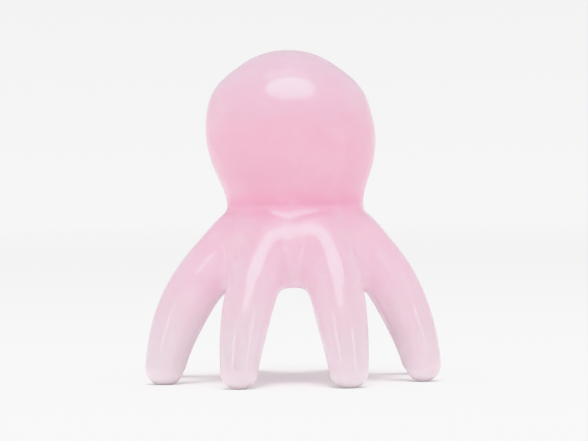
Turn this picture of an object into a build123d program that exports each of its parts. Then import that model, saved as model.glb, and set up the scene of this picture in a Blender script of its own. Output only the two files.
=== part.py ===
from build123d import *
import os
from math import acos, asin, atan2, cos, degrees, hypot, radians, sin

# A hand-held massage tool in the shape of an octopus: a round head that fills the palm, on a
# short skirt with eight arms. The arms' round tips press on the skin, and it stands on them.
# Head and skirt are two resin castings that meet at the neck, where the tool is narrowest,
# and a dowel in a blind hole in each holds them in line.
# Millimetres. +Z is up, the origin is on the surface it stands on, under the middle of the
# head, and -Y is the front, half way between two arms. Half outlines are (radius, height).

# Head: a ball, then a straight taper, then a hollow curve that ends upright at the neck
total_height = 90.0
head_radius = 23.2
neck_height = 47.8
neck_radius = 18.5
neck_curve_radius = 9.0

# Skirt: a hollow curve leaves the neck for a short sloping flank, which rounds over into an
# upright wall, open underneath
throat_radius = 5.0
flank_angle = 46.0  # degrees from upright
flank_length = 2.3
ridge_radius = 8.2
rim_height = 26.0  # the top of the arches between the arms
rim_inner_radius = 17.5
rim_rounding = 3.0
ceiling_height = 37.0  # the highest point of the hollow under the skirt

# Arms: each is a round bar bent to one arc, which gets thicker from its foot to its shoulder
arm_count = 8
arm_radii = (4.9, 5.7, 6.3, 6.7)  # evenly spaced from foot to shoulder
arm_arc_radius = 65.0
foot_circle_radius = 37.6
foot_angle = 12.5  # where the bar starts, in degrees up from level at the arc's centre
shoulder_angle = 43.0  # where it ends, inside the hub
foot_facet_depth = 0.15  # the tips are ground flat by this much, to stand steady

# Dowel
dowel_radius = 4.0
dowel_in_head = 12.0
dowel_in_skirt = 7.5
dowel_chamfer = 0.5
glue_gap = 0.05


def point_on(centre, radius, angle):
    """The point of a circle at an angle in degrees."""
    return (
        centre[0] + radius * cos(radians(angle)),
        centre[1] + radius * sin(radians(angle)),
    )


def turned(half_outline):
    """The solid that a half outline makes about the Z axis."""
    return revolve(Plane.XZ * half_outline, Axis.Z)


def dowel_socket():
    """The space that the dowel and its glue take up, in both castings."""
    depth = dowel_in_head + dowel_in_skirt
    middle = neck_height + (dowel_in_head - dowel_in_skirt) / 2
    return Pos(0, 0, middle) * Cylinder(dowel_radius + glue_gap, depth)


def make_head():
    """Ball and neck. The taper is the straight line that touches the ball and the neck's curve."""
    ball_centre = (0, total_height - head_radius)
    curve_centre = (neck_radius + neck_curve_radius, neck_height)
    rise = ball_centre[1] - curve_centre[1]
    touching = (head_radius + neck_curve_radius) / hypot(curve_centre[0], rise)
    taper = degrees(atan2(rise, curve_centre[0]) - acos(touching))
    taper_top = point_on(ball_centre, head_radius, -taper)
    taper_foot = point_on(curve_centre, neck_curve_radius, 180 - taper)
    half_outline = make_face([
        Line((0, neck_height), (neck_radius, neck_height)),
        CenterArc(curve_centre, neck_curve_radius, 180, -taper),
        Line(taper_foot, taper_top),
        CenterArc(ball_centre, head_radius, -taper, 90 + taper),
        Line((0, total_height), (0, neck_height)),
    ])
    return turned(half_outline) - dowel_socket()


def make_hub():
    """What the arms grow from: flank and wall, with a vaulted hollow and a rounded rim."""
    throat_centre = (neck_radius + throat_radius, neck_height)
    flank_top = point_on(throat_centre, throat_radius, 180 + flank_angle)
    flank_foot = point_on(flank_top, flank_length, flank_angle - 90)
    ridge_centre = point_on(flank_foot, ridge_radius, 180 + flank_angle)
    wall_radius = ridge_centre[0] + ridge_radius
    vault_rise = ceiling_height - rim_height
    vault_radius = (rim_inner_radius**2 + vault_rise**2) / (2 * vault_rise)
    vault_centre = (0, ceiling_height - vault_radius)
    vault_angle = degrees(asin((rim_height - vault_centre[1]) / vault_radius))
    half_outline = make_face([
        Line((0, neck_height), (neck_radius, neck_height)),
        CenterArc(throat_centre, throat_radius, 180, flank_angle),
        Line(flank_top, flank_foot),
        CenterArc(ridge_centre, ridge_radius, flank_angle, -flank_angle),
        Line((wall_radius, ridge_centre[1]), (wall_radius, rim_height)),
        Line((wall_radius, rim_height), (rim_inner_radius, rim_height)),
        CenterArc(vault_centre, vault_radius, vault_angle, 90 - vault_angle),
        Line((0, ceiling_height), (0, neck_height)),
    ])
    rim_corners = half_outline.vertices().group_by(Axis.Y)[0]
    return turned(fillet(rim_corners, rim_rounding))


def make_arm():
    """One arm in the XZ plane: a bar through round sections, with a half ball at each end."""
    foot = (foot_circle_radius, arm_radii[0] - foot_facet_depth)
    arc_centre = point_on(foot, arm_arc_radius, 180 + foot_angle)

    def placed(angle, shape):
        """A shape on the arc, with its own Z along the bar, towards the shoulder."""
        x, z = point_on(arc_centre, arm_arc_radius, angle)
        return Pos(x, 0, z) * Rot(0, -angle, 0) * shape

    def half_ball(radius):
        """The upper half of a ball, flat face down at the origin."""
        keep_place = (Align.CENTER, Align.CENTER, Align.NONE)
        return Sphere(radius, arc_size1=0, align=keep_place)

    step = (shoulder_angle - foot_angle) / (len(arm_radii) - 1)
    sections = [
        placed(foot_angle + number * step, Circle(radius))
        for number, radius in enumerate(arm_radii)
    ]
    tip = placed(foot_angle, Rot(180, 0, 0) * half_ball(arm_radii[0]))
    shoulder = placed(shoulder_angle, half_ball(arm_radii[-1]))
    return loft(sections) + tip + shoulder


def make_leg_skirt():
    """The lower casting: the hub and its arms in one, ground flat at the tips."""
    step = 360 / arm_count
    arm = make_arm()
    skirt = make_hub()
    for number in range(arm_count):
        skirt += Rot(0, 0, (number + 0.5) * step - 90) * arm
    skirt = split(skirt, Plane.XY, keep=Keep.TOP)
    return skirt - dowel_socket()


def make_neck_dowel():
    """The plain round dowel, with a small lead at each end."""
    dowel = Cylinder(dowel_radius, dowel_in_head + dowel_in_skirt)
    dowel = chamfer(dowel.edges().filter_by(GeomType.CIRCLE), dowel_chamfer)
    middle = neck_height + (dowel_in_head - dowel_in_skirt) / 2
    return Pos(0, 0, middle) * dowel


parts = {
    "head": make_head(),
    "leg_skirt": make_leg_skirt(),
    "neck_dowel": make_neck_dowel(),
}
os.makedirs("parts", exist_ok=True)
for name, part in parts.items():
    export_step(part, f"parts/{name}.step")
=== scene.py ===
from math import cos, pi, radians, sin

import bmesh
import bpy
import numpy as np
from mathutils import Matrix, Vector


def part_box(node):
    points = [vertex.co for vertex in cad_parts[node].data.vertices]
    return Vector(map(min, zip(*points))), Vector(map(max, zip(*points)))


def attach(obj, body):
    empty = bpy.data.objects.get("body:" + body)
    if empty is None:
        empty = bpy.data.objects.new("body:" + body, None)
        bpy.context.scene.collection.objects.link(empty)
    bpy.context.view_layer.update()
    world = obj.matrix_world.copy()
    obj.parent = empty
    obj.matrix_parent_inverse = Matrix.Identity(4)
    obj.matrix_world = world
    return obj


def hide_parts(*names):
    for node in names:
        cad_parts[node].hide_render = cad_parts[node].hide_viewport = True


# An octopus-shaped massage tool of milky pink resin: a round head on a skirt with eight arms.
# Both castings are cut from one smooth body, given as a field that is negative inside, so
# that the surface runs on over the neck. The body's values and its fields are in millimetres,
# and everything in Blender is in metres.

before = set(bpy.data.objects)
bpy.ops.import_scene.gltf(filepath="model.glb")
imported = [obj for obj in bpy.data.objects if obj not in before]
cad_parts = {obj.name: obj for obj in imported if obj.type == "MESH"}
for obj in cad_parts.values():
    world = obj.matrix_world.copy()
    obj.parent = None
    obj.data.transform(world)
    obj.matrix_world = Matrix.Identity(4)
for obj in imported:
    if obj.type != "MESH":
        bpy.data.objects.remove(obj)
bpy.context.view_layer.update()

MM = 0.001
head_low, head_high = (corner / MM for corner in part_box("head"))
skirt_low, skirt_high = (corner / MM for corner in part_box("leg_skirt"))
dowel_low, dowel_high = (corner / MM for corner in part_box("neck_dowel"))

# Head and neck
BALL_RADIUS = (head_high.x - head_low.x) / 2
BALL_HEIGHT = head_high.z - BALL_RADIUS
NECK_HEIGHT = head_low.z
NECK_RADIUS = 18.3
NECK_HALF_LENGTH = 8.0
NECK_BLEND = 7.0
SOCKET_CLEARANCE = 0.05
SOCKET_SIDES = 48

# Skirt: an upright wall that rounds over into a flank under the neck, hollow underneath
RIDGE_CURVE = 5.5
RIDGE_CURVE_OFFSET = 17.8
RIDGE_CURVE_HEIGHT = NECK_HEIGHT - 10.4
WEB_LIFT = 1.9  # how much higher the wall's top is between two arms than over an arm
WEB_LIFT_TURN = radians(9)  # how far those high places are turned from half way between arms
THROAT_BLEND = 6.0
RIM_HEIGHT = 26.0
RIM_BLEND = 5.0
VAULT_TOP = 37.0
VAULT_RADIUS = 19.4

# Arms: round bars along an arc in an upright plane, thickest a little over half way up
ARM_COUNT = 8
TIP_RADIUS = 4.9
SHOULDER_SWELL = 1.8
SWELL_REACH = 0.85  # the part of a sine's hump that the swelling follows up the arm
ARM_ARC = 65.0
FOOT_ANGLE = radians(12.5)
SHOULDER_ANGLE = radians(48)
FOOT_CIRCLE = (skirt_high.x - TIP_RADIUS) / cos(pi / ARM_COUNT)
FACET_DEPTH = 0.15
FACET_BLEND = 0.5
WEB_BLEND = 7.0
ARM_BLEND = 9.5

# A hand-finished casting: arms of slightly different thickness, counted from the front right
# one anticlockwise as seen from above, and a body that sways to the right at the skirt and to
# the left at the crown
ARM_THICKNESS = (1.06, 1.00, 1.03, 0.98, 1.02, 1.05, 1.08, 1.02)
SKIRT_SWAY = 1.0
SKIRT_SWAY_HEIGHT = 43
SKIRT_SWAY_SPREAD = 16
CROWN_SWAY = -0.9
CROWN_SWAY_HEIGHT = 70
CROWN_SWAY_SPREAD = 4

# The ball is filled out at its sides below a flatter crown. Angles are in degrees from its top
CHEEK_BUMP = 0.5
CHEEK_ANGLE = 60
CHEEK_SPREAD = 13
CROWN_DIP = 0.2
CROWN_DIP_ANGLE = 36
CROWN_DIP_SPREAD = 10

MESH_STEP = 0.6
MESH_MARGIN = 2

# Resin: height in millimetres and colour there, partly the resin's own tone and partly painted
# light. It is deepest pink at the neck, from the thick resin there and from painted shade in the
# neck crease, and it is painted darker under the head as shade. The top of the head is painted
# paler as a reflection of the overhead lamp. The tips are greyest, as thin resin is, and are
# painted darker as shade, because the low fills light them and make them look pale in this scene
RESIN_COLOURS_AND_PAINTED_LIGHT = (
    (3, (0.56, 0.49, 0.52)),
    (13, (0.61, 0.515, 0.56)),
    (21, (0.67, 0.53, 0.59)),
    (33, (0.76, 0.55, 0.645)),
    (40, (0.82, 0.565, 0.67)),
    (44, (0.91, 0.59, 0.725)),
    (48, (0.89, 0.43, 0.585)),
    (52, (0.79, 0.445, 0.565)),
    (57, (0.76, 0.44, 0.55)),
    (66, (0.825, 0.495, 0.61)),
    (80, (0.89, 0.635, 0.75)),
    (90, (0.90, 0.67, 0.79)),
)
DOWEL_COLOURS = ((40, (0.93, 0.84, 0.88)), (60, (0.95, 0.88, 0.91)))
ROSY = (1.0, 0.93, 0.96, 1)
MILKY = (0.93, 0.78, 0.86, 1)

# Clouds in the resin: their size in millimetres, the detail and distortion of their noise, the
# values of it where they begin and are full, and how strong they are there
ROSY_CLOUDS = (24, 2, 0.5, 0.38, 0.66, 0.5)
MILKY_WISPS = (13, 3, 0.6, 0.5, 0.75, 0.2)
DOWEL_WISPS = (4, 3, 0.5, 0.4, 0.7, 0.4)

# Polish: the size in millimetres and the detail of its patches, and the roughness from the
# best polished ones to the least
POLISH = (3, 3, 0.10, 0.17)
DOWEL_POLISH = (1.5, 2, 0.2, 0.3)
PATCH_NOISE = (0.3, 0.7)  # the noise values at which a patch is best and least polished

# Fine relief: the width and the depth of its lumps, in millimetres
RIPPLES = (7, 0.05)
DOWEL_GRAIN = (1, 0.02)

# How far light goes into the resin, in millimetres: least beside the neck joint, and more above
# it and below it
TRANSLUCENCY = 0.7
TRANSLUCENCY_BY_COLOUR = (1.0, 0.7, 0.8)
LIGHT_DEPTH_AT_JOINT = 0.3
LIGHT_DEPTH_ABOVE = 5
LIGHT_DEPTH_BELOW = 9
JOINT_REACH = 6

# Floor and tent: the floor glows more from GLOW_START to GLOW_END metres off, so that it meets
# the tent unseen. The tent dims from the horizon up to where a direction's Z is HORIZON_TOP
PAPER = 0.6
PAPER_ROUGHNESS = 0.9
PAPER_GLOW = 0.3
GLOW_START = 0.2
GLOW_END = 2.5
FLOOR_HALF = 12.0
HORIZON_RADIANCE = 1.3
HORIZON_TOP = 0.2
TENT_RADIANCE = 0.70

# Lamps that face the tool: azimuth and elevation in degrees, distance, width and height in
# metres, and radiance. Azimuth 0 is the front, positive to the right
LAMP_AIM = Vector((0, 0, 0.05))
LAMP_DISTANCE = 0.7
LOW_KEY = (-2, 42, LAMP_DISTANCE, 0.36, 0.19, 6)
LEG_STRIP = (40, 10, LAMP_DISTANCE, 0.07, 0.28, 7)
TOP_FILL = (0, 80, LAMP_DISTANCE, 0.5, 0.5, 1.6)
FRONT_FILL = (0, 1.5, 1.0, 1.4, 0.1, 2.6)
EDGE_FILL = (55, -3, 0.5, 0.25, 0.036, 18)
FLOOR_LAMP = (0, 75, 1.0, 0.45, 0.8, 13)

# The key lamp is a softbox with cut corners, made of upright strips side by side: each strip's
# middle across, its width, and its low and high end, in metres
KEY_AZIMUTH = 7
KEY_ELEVATION = 66.5
KEY_RADIANCE = 5.5
KEY_COLOUR = (0.7, 1.0, 0.95)
KEY_STRIPS = (
    (-0.28, 0.08, -0.12, 0.12),
    (-0.18, 0.12, -0.19, 0.17),
    (0.00, 0.24, -0.22, 0.19),
    (0.18, 0.12, -0.20, 0.18),
    (0.28, 0.08, -0.14, 0.12),
)

# Camera, nearly level and far off
CAMERA_AIM = Vector((0.0005, 0, 0.0434))
CAMERA_DISTANCE = 0.8
CAMERA_ELEVATION = radians(0.95)
CAMERA_ROLL = radians(-0.7)
PICTURE_WIDTH = 0.1607
SENSOR_WIDTH = 36


# ---------------------------------------------------------------- the body as a field

def smooth_min(a, b, blend):
    """The lower of two fields, rounded over where they differ by less than blend."""
    near = np.maximum(blend - np.abs(a - b), 0) / blend
    return np.minimum(a, b) - near**3 * blend / 6


def smooth_max(a, b, blend):
    """The higher of two fields, rounded in the same way."""
    return -smooth_min(-a, -b, blend)


def bell(value, middle, spread):
    """A smooth bump of height 1."""
    return np.exp(-(((value - middle) / spread) ** 2))


def sway(z):
    """How far the body's middle is to the right of the upright axis."""
    to_crown = 1 / (1 + np.exp((CROWN_SWAY_HEIGHT - z) / CROWN_SWAY_SPREAD))
    return SKIRT_SWAY * bell(z, SKIRT_SWAY_HEIGHT, SKIRT_SWAY_SPREAD) + CROWN_SWAY * to_crown


def ball_field(x, y, z):
    """The head's ball, with its cheeks and its flatter crown."""
    radius = np.hypot(x, y)
    polar = np.degrees(np.arctan2(radius, z - BALL_HEIGHT))
    sideways = (x / np.maximum(radius, 1)) ** 2
    cheek = CHEEK_BUMP * bell(polar, CHEEK_ANGLE, CHEEK_SPREAD)
    dip = CROWN_DIP * bell(polar, CROWN_DIP_ANGLE, CROWN_DIP_SPREAD)
    return np.hypot(radius, z - BALL_HEIGHT) - BALL_RADIUS - (cheek - dip) * sideways


def arm_field(x, y, z, azimuth, thickness_scale):
    """One arm: distance to the arc in its upright plane, less the thickness there."""
    out = x * cos(azimuth) + y * sin(azimuth)
    side = y * cos(azimuth) - x * sin(azimuth)
    centre_out = FOOT_CIRCLE - ARM_ARC * cos(FOOT_ANGLE)
    centre_up = TIP_RADIUS - FACET_DEPTH - ARM_ARC * sin(FOOT_ANGLE)
    angle = np.clip(np.arctan2(z - centre_up, out - centre_out), FOOT_ANGLE, SHOULDER_ANGLE)
    along = (angle - FOOT_ANGLE) / (SHOULDER_ANGLE - FOOT_ANGLE)
    thickness = TIP_RADIUS + SHOULDER_SWELL * np.sin(SWELL_REACH * pi * along)
    from_out = out - centre_out - ARM_ARC * np.cos(angle)
    from_up = z - centre_up - ARM_ARC * np.sin(angle)
    return np.sqrt(from_out**2 + side**2 + from_up**2) - thickness * thickness_scale


def hub_field(radius, azimuth, z):
    """The neck's column and the wall under it, hollowed from below, with a rounded rim."""
    column = np.maximum(radius - NECK_RADIUS, np.abs(z - NECK_HEIGHT) - NECK_HALF_LENGTH)
    lift = WEB_LIFT / 2 * np.cos(ARM_COUNT * (azimuth - WEB_LIFT_TURN))
    beyond = np.maximum(radius - RIDGE_CURVE_OFFSET, 0)
    above = np.maximum(z - RIDGE_CURVE_HEIGHT - lift, 0)
    wall = np.hypot(beyond, above) - RIDGE_CURVE
    hub = smooth_min(column, wall, THROAT_BLEND)
    hub = smooth_max(hub, RIM_HEIGHT - z, RIM_BLEND)
    vault = np.hypot(radius, z - VAULT_TOP + VAULT_RADIUS) - VAULT_RADIUS
    return smooth_max(hub, -vault, RIM_BLEND)


def body_field(points):
    """The whole tool."""
    x, y, z = points.T
    x = x - sway(z)
    hub = hub_field(np.hypot(x, y), np.arctan2(x, -y), z)
    arms = np.full(len(points), np.inf)
    for number, thickness in enumerate(ARM_THICKNESS):
        azimuth = (number + 0.5) * 2 * pi / ARM_COUNT - pi / 2
        arms = smooth_min(arms, arm_field(x, y, z, azimuth, thickness), ARM_BLEND)
    body = smooth_min(hub, arms, WEB_BLEND)
    body = smooth_min(body, ball_field(x, y, z), NECK_BLEND)
    return smooth_max(body, -z, FACET_BLEND)


# ---------------------------------------------------------------- from field to mesh

def onto_surface(field, points, rounds=3):
    """Moves points along the field's slope until they lie on the surface."""
    reach = 0.01
    least_steepness = 0.05
    for _ in range(rounds):
        slope = np.stack([
            (field(points + reach * axis) - field(points - reach * axis)) / (2 * reach)
            for axis in np.eye(3)
        ], 1)
        steepness = np.maximum((slope**2).sum(1), least_steepness)
        points = points - slope * (field(points) / steepness)[:, None]
    return points


def surface_net(field, low, high, step):
    """A closed mesh of quads on a field's surface: a corner in each cell that it crosses."""
    ticks = [np.arange(a, b + step, step) for a, b in zip(low, high)]
    grid = np.stack(np.meshgrid(*ticks, indexing="ij"), -1)
    inside = np.stack([field(sheet.reshape(-1, 3)) < 0 for sheet in grid])
    inside = inside.reshape(grid.shape[:3]).astype(int)
    lower_or_upper = (slice(None, -1), slice(1, None))
    corners_in = sum(
        inside[i, j, k] for i in lower_or_upper for j in lower_or_upper for k in lower_or_upper
    )
    crossed = (corners_in > 0) & (corners_in < 8)
    number = np.full(crossed.shape, -1)
    number[crossed] = np.arange(crossed.sum())
    points = np.array([t[0] for t in ticks]) + (np.argwhere(crossed) + 0.5) * step
    faces = []
    for axis in range(3):
        change = np.diff(inside, axis=axis)
        a, b = np.eye(3, dtype=int)[[(axis + 1) % 3, (axis + 2) % 3]]
        for sign in (-1, 1):
            at = np.argwhere(change == sign)
            ring = [at - a - b, at - b, at, at - a][::-sign]
            faces.append(np.stack([number[tuple(cell.T)] for cell in ring], 1))
    return points, np.concatenate(faces)


def relaxed(field, points, faces, rounds=4):
    """Evens the net out: each corner moves to the mean of its faces' middles, then back on."""
    count = np.bincount(faces.ravel(), minlength=len(points))[:, None]
    for _ in range(rounds):
        middles = points[faces].mean(1)
        total = np.zeros_like(points)
        for corner in faces.T:
            np.add.at(total, corner, middles)
        points = onto_surface(field, total / count, rounds=1)
    return onto_surface(field, points)


def casting(name, points, faces, keep_above):
    """The part of the body above or below the neck, closed with a flat face there."""
    mesh = bpy.data.meshes.new(name)
    mesh.from_pydata((points * MM).tolist(), [], faces.tolist())
    bm = bmesh.new()
    bm.from_mesh(mesh)
    geometry = bm.verts[:] + bm.edges[:] + bm.faces[:]
    cut = bmesh.ops.bisect_plane(
        bm, geom=geometry, dist=1e-6, plane_co=(0, 0, NECK_HEIGHT * MM), plane_no=(0, 0, 1),
        clear_inner=keep_above, clear_outer=not keep_above,
    )
    rim = [item for item in cut["geom_cut"] if isinstance(item, bmesh.types.BMEdge)]
    bmesh.ops.edgeloop_fill(bm, edges=rim)
    for edge in rim:
        edge.smooth = False
    bmesh.ops.recalc_face_normals(bm, faces=bm.faces)
    for face in bm.faces:
        face.smooth = True
    bm.to_mesh(mesh)
    bm.free()
    piece = bpy.data.objects.new(name, mesh)
    bpy.context.collection.objects.link(piece)
    return piece


def bore_socket(piece):
    """Cuts the dowel's blind hole."""
    radius = (dowel_high.x + SOCKET_CLEARANCE) * MM
    bm = bmesh.new()
    bmesh.ops.create_cone(
        bm, cap_ends=True, segments=SOCKET_SIDES, radius1=radius, radius2=radius,
        depth=(dowel_high.z - dowel_low.z) * MM,
        matrix=Matrix.Translation((dowel_low + dowel_high) / 2 * MM),
    )
    mesh = bpy.data.meshes.new("socket_cutter")
    bm.to_mesh(mesh)
    bm.free()
    cutter = bpy.data.objects.new("socket_cutter", mesh)
    bpy.context.collection.objects.link(cutter)
    boolean = piece.modifiers.new("socket", "BOOLEAN")
    boolean.object = cutter
    boolean.solver = "EXACT"
    graph = bpy.context.evaluated_depsgraph_get()
    cut = bpy.data.meshes.new_from_object(piece.evaluated_get(graph))
    piece.modifiers.clear()
    piece.data = cut
    bpy.data.objects.remove(cutter)


def build_castings(resin):
    margin = Vector((MESH_MARGIN, MESH_MARGIN, MESH_MARGIN))
    low = skirt_low - margin
    high = Vector((skirt_high.x, skirt_high.y, head_high.z)) + margin
    points, faces = surface_net(body_field, low, high, MESH_STEP)
    points = relaxed(body_field, onto_surface(body_field, points), faces)
    pieces = {
        "head": casting("head_casting", points, faces, keep_above=True),
        "leg_skirt": casting("arm_skirt_casting", points, faces, keep_above=False),
    }
    for node, piece in pieces.items():
        bore_socket(piece)
        piece.data.materials.clear()
        piece.data.materials.append(resin)
        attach(piece, "root")
        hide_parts(node)
    return pieces


# ---------------------------------------------------------------- materials

def new_material(name):
    material = bpy.data.materials.new(name)
    material.use_nodes = True
    nodes = material.node_tree.nodes
    return material, nodes, material.node_tree.links, nodes["Principled BSDF"]


def object_place(nodes):
    """The place on the tool, in metres."""
    return nodes.new("ShaderNodeTexCoord").outputs["Object"]


def height_above_floor(nodes, links):
    split = nodes.new("ShaderNodeSeparateXYZ")
    links.new(object_place(nodes), split.inputs[0])
    return split.outputs["Z"]


def map_range(nodes, links, value, from_low, from_high, to_low, to_high):
    """A value carried from one range to another, and held at its ends."""
    node = nodes.new("ShaderNodeMapRange")
    links.new(value, node.inputs["Value"])
    ends = {"From Min": from_low, "From Max": from_high, "To Min": to_low, "To Max": to_high}
    for socket, end in ends.items():
        node.inputs[socket].default_value = end
    return node.outputs["Result"]


def ramp_by_height(nodes, links, stops):
    """A colour that follows the height above the surface that the tool stands on."""
    node = nodes.new("ShaderNodeValToRGB")
    height = height_above_floor(nodes, links)
    links.new(map_range(nodes, links, height, 0, head_high.z * MM, 0, 1), node.inputs["Fac"])
    elements = node.color_ramp.elements
    while len(elements) < len(stops):
        elements.new(0.5)
    for element, (at, colour) in zip(elements, stops):
        element.position = at / head_high.z
        element.color = (*colour, 1)
    return node.outputs["Color"]


def noise(nodes, links, size, detail=2, distortion=0):
    """Noise whose lumps are about size millimetres wide."""
    node = nodes.new("ShaderNodeTexNoise")
    links.new(object_place(nodes), node.inputs["Vector"])
    node.inputs["Scale"].default_value = 1 / (size * MM)
    node.inputs["Detail"].default_value = detail
    node.inputs["Distortion"].default_value = distortion
    return node.outputs["Fac"]


def blended(nodes, links, mode, amount, base, layer):
    """A plain colour laid over another one, by an amount that varies."""
    node = nodes.new("ShaderNodeMix")
    node.data_type = "RGBA"
    node.blend_type = mode
    factor, first, second = (node.inputs[number] for number in (0, 6, 7))
    links.new(amount, factor)
    links.new(base, first)
    second.default_value = layer
    return node.outputs[2]


def clouds(nodes, links, size, detail, distortion, begin, full, strength):
    """How strong the clouds are at a place."""
    lumps = noise(nodes, links, size, detail, distortion)
    return map_range(nodes, links, lumps, begin, full, 0, strength)


def patchy_polish(nodes, links, size, detail, smoothest, roughest):
    """A roughness that varies from patch to patch."""
    patches = noise(nodes, links, size, detail)
    return map_range(nodes, links, patches, *PATCH_NOISE, smoothest, roughest)


def relief(nodes, links, size, depth):
    """The normal of a surface with low lumps on it."""
    node = nodes.new("ShaderNodeBump")
    node.inputs["Distance"].default_value = depth * MM
    links.new(noise(nodes, links, size), node.inputs["Height"])
    return node.outputs["Normal"]


def light_depth(nodes, links):
    """How deep light goes into the resin, by the height above the floor."""
    height = height_above_floor(nodes, links)
    joint, reach = NECK_HEIGHT * MM, JOINT_REACH * MM
    least, most_above, most_below = (
        depth * MM for depth in (LIGHT_DEPTH_AT_JOINT, LIGHT_DEPTH_ABOVE, LIGHT_DEPTH_BELOW)
    )
    above = map_range(nodes, links, height, joint, joint + reach, least, most_above)
    below = map_range(nodes, links, height, joint - reach, joint, most_below, least)
    deeper = nodes.new("ShaderNodeMath")
    deeper.operation = "MAXIMUM"
    links.new(above, deeper.inputs[0])
    links.new(below, deeper.inputs[1])
    return deeper.outputs[0]


def rose_resin():
    """Cast resin with milky clouds in it, hand-polished, that lets light in a few millimetres."""
    material, nodes, links, shader = new_material("rose_resin")
    # The height ramp paints light into the colour: a paler head top for the lamp's reflection,
    # and shade under the head, in the neck crease and at the tips
    colour = ramp_by_height(nodes, links, RESIN_COLOURS_AND_PAINTED_LIGHT)
    rosy = clouds(nodes, links, *ROSY_CLOUDS)
    colour = blended(nodes, links, "MULTIPLY", rosy, colour, ROSY)
    milky = clouds(nodes, links, *MILKY_WISPS)
    colour = blended(nodes, links, "MIX", milky, colour, MILKY)
    links.new(colour, shader.inputs["Base Color"])
    links.new(patchy_polish(nodes, links, *POLISH), shader.inputs["Roughness"])
    links.new(relief(nodes, links, *RIPPLES), shader.inputs["Normal"])
    shader.inputs["Subsurface Weight"].default_value = TRANSLUCENCY
    shader.inputs["Subsurface Radius"].default_value = TRANSLUCENCY_BY_COLOUR
    links.new(light_depth(nodes, links), shader.inputs["Subsurface Scale"])
    return material


def dowel_resin():
    """A pale clear-milky rod, drawn smooth, with faint clouds in it."""
    material, nodes, links, shader = new_material("dowel_resin")
    colour = ramp_by_height(nodes, links, DOWEL_COLOURS)
    milky = clouds(nodes, links, *DOWEL_WISPS)
    colour = blended(nodes, links, "MIX", milky, colour, MILKY)
    links.new(colour, shader.inputs["Base Color"])
    links.new(patchy_polish(nodes, links, *DOWEL_POLISH), shader.inputs["Roughness"])
    links.new(relief(nodes, links, *DOWEL_GRAIN), shader.inputs["Normal"])
    return material


def floor_paper():
    """White paper, lit from behind as it gets further off."""
    material, nodes, links, shader = new_material("floor_paper")
    shader.inputs["Base Color"].default_value = (PAPER, PAPER, PAPER, 1)
    shader.inputs["Roughness"].default_value = PAPER_ROUGHNESS
    shader.inputs["Specular IOR Level"].default_value = 0.0
    shader.inputs["Emission Color"].default_value = (1, 1, 1, 1)
    length = nodes.new("ShaderNodeVectorMath")
    length.operation = "LENGTH"
    links.new(object_place(nodes), length.inputs[0])
    distance = length.outputs["Value"]
    far_glow = HORIZON_RADIANCE - PAPER * TENT_RADIANCE
    glow = map_range(nodes, links, distance, GLOW_START, GLOW_END, PAPER_GLOW, far_glow)
    links.new(glow, shader.inputs["Emission Strength"])
    return material


# ---------------------------------------------------------------- stage, light and camera

def build_floor():
    mesh = bpy.data.meshes.new("floor")
    half = FLOOR_HALF
    corners = [(-half, -half, 0), (half, -half, 0), (half, half, 0), (-half, half, 0)]
    mesh.from_pydata(corners, [], [(0, 1, 2, 3)])
    floor = bpy.data.objects.new("floor", mesh)
    bpy.context.collection.objects.link(floor)
    mesh.materials.append(floor_paper())
    return floor


def softbox(name, azimuth, elevation, distance, width, height, radiance):
    """A rectangular lamp that faces the tool."""
    light = bpy.data.lights.new(name, "AREA")
    light.shape = "RECTANGLE"
    light.size = width
    light.size_y = height
    light.energy = radiance * pi * width * height
    lamp = bpy.data.objects.new(name, light)
    bpy.context.collection.objects.link(lamp)
    a, e = radians(azimuth), radians(elevation)
    direction = Vector((sin(a) * cos(e), -cos(a) * cos(e), sin(e)))
    lamp.location = LAMP_AIM + direction * distance
    lamp.rotation_euler = direction.to_track_quat("Z", "Y").to_euler()
    return lamp


def mirrored_pair(name, azimuth, *rest):
    """The same softbox on the left and on the right."""
    return [softbox(name, azimuth * side, *rest) for side in (-1, 1)]


def light_only(lamp, things):
    """Keeps a lamp's light on the things given."""
    lit = bpy.data.collections.new("lit_by_" + lamp.name)
    for thing in things:
        lit.objects.link(thing)
    lamp.light_linking.receiver_collection = lit


def build_key():
    """The key lamp, which is there for its reflection only."""
    for number, (middle, width, low, high) in enumerate(KEY_STRIPS):
        strip = softbox(f"key_softbox_{number}", KEY_AZIMUTH, KEY_ELEVATION, LAMP_DISTANCE,
                        width, high - low, KEY_RADIANCE)
        strip.location += strip.matrix_basis.to_3x3() @ Vector((middle, (high + low) / 2, 0))
        strip.data.color = KEY_COLOUR
        strip.visible_diffuse = False


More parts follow.
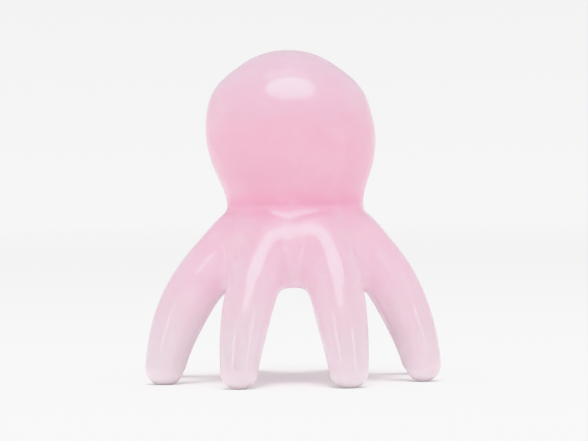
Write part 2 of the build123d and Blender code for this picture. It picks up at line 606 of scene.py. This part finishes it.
def build_lights(floor, head, skirt):
    build_key()
    for lamp in (softbox("low_key_softbox", *LOW_KEY), *mirrored_pair("leg_strip", *LEG_STRIP)):
        lamp.visible_diffuse = False
        light_only(lamp, [skirt])
    softbox("top_fill", *TOP_FILL)
    # The last fills stand for light that the resin carries into its shaded edges, so only the
    # floor casts their shadow
    bare_floor = bpy.data.collections.new("bare_floor")
    bare_floor.objects.link(floor)
    front = softbox("front_fill", *FRONT_FILL)
    left, right = mirrored_pair("edge_fill", *EDGE_FILL)
    for lamp, lit in ((front, [head, skirt]), (left, [skirt]), (right, [skirt])):
        lamp.visible_glossy = False
        light_only(lamp, lit)
        lamp.light_linking.blocker_collection = bare_floor
    light_only(softbox("floor_lamp", *FLOOR_LAMP), [floor])


def build_tent():
    """A white tent all round: the world, brightest low down, where the lit floor goes on."""
    world = bpy.data.worlds.new("tent")
    bpy.context.scene.world = world
    world.use_nodes = True
    nodes, links = world.node_tree.nodes, world.node_tree.links
    split = nodes.new("ShaderNodeSeparateXYZ")
    links.new(nodes.new("ShaderNodeTexCoord").outputs["Generated"], split.inputs[0])
    steepness = split.outputs["Z"]
    glow = map_range(nodes, links, steepness, 0, HORIZON_TOP, HORIZON_RADIANCE, TENT_RADIANCE)
    nodes["Background"].inputs["Color"].default_value = (1, 1, 1, 1)
    links.new(glow, nodes["Background"].inputs["Strength"])


def build_camera():
    data = bpy.data.cameras.new("camera")
    data.sensor_width = SENSOR_WIDTH
    data.lens = SENSOR_WIDTH * CAMERA_DISTANCE / PICTURE_WIDTH
    camera = bpy.data.objects.new("camera", data)
    bpy.context.collection.objects.link(camera)
    back = Vector((0, -cos(CAMERA_ELEVATION), sin(CAMERA_ELEVATION)))
    camera.location = CAMERA_AIM + back * CAMERA_DISTANCE
    turn = back.to_track_quat("Z", "Y").to_matrix() @ Matrix.Rotation(CAMERA_ROLL, 3, "Z")
    camera.rotation_euler = turn.to_euler()
    bpy.context.scene.camera = camera


pieces = build_castings(rose_resin())
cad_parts["neck_dowel"].material_slots[0].material = dowel_resin()
build_lights(build_floor(), pieces["head"], pieces["leg_skirt"])
build_tent()
build_camera()
bpy.context.scene.view_settings.view_transform = "Khronos PBR Neutral"
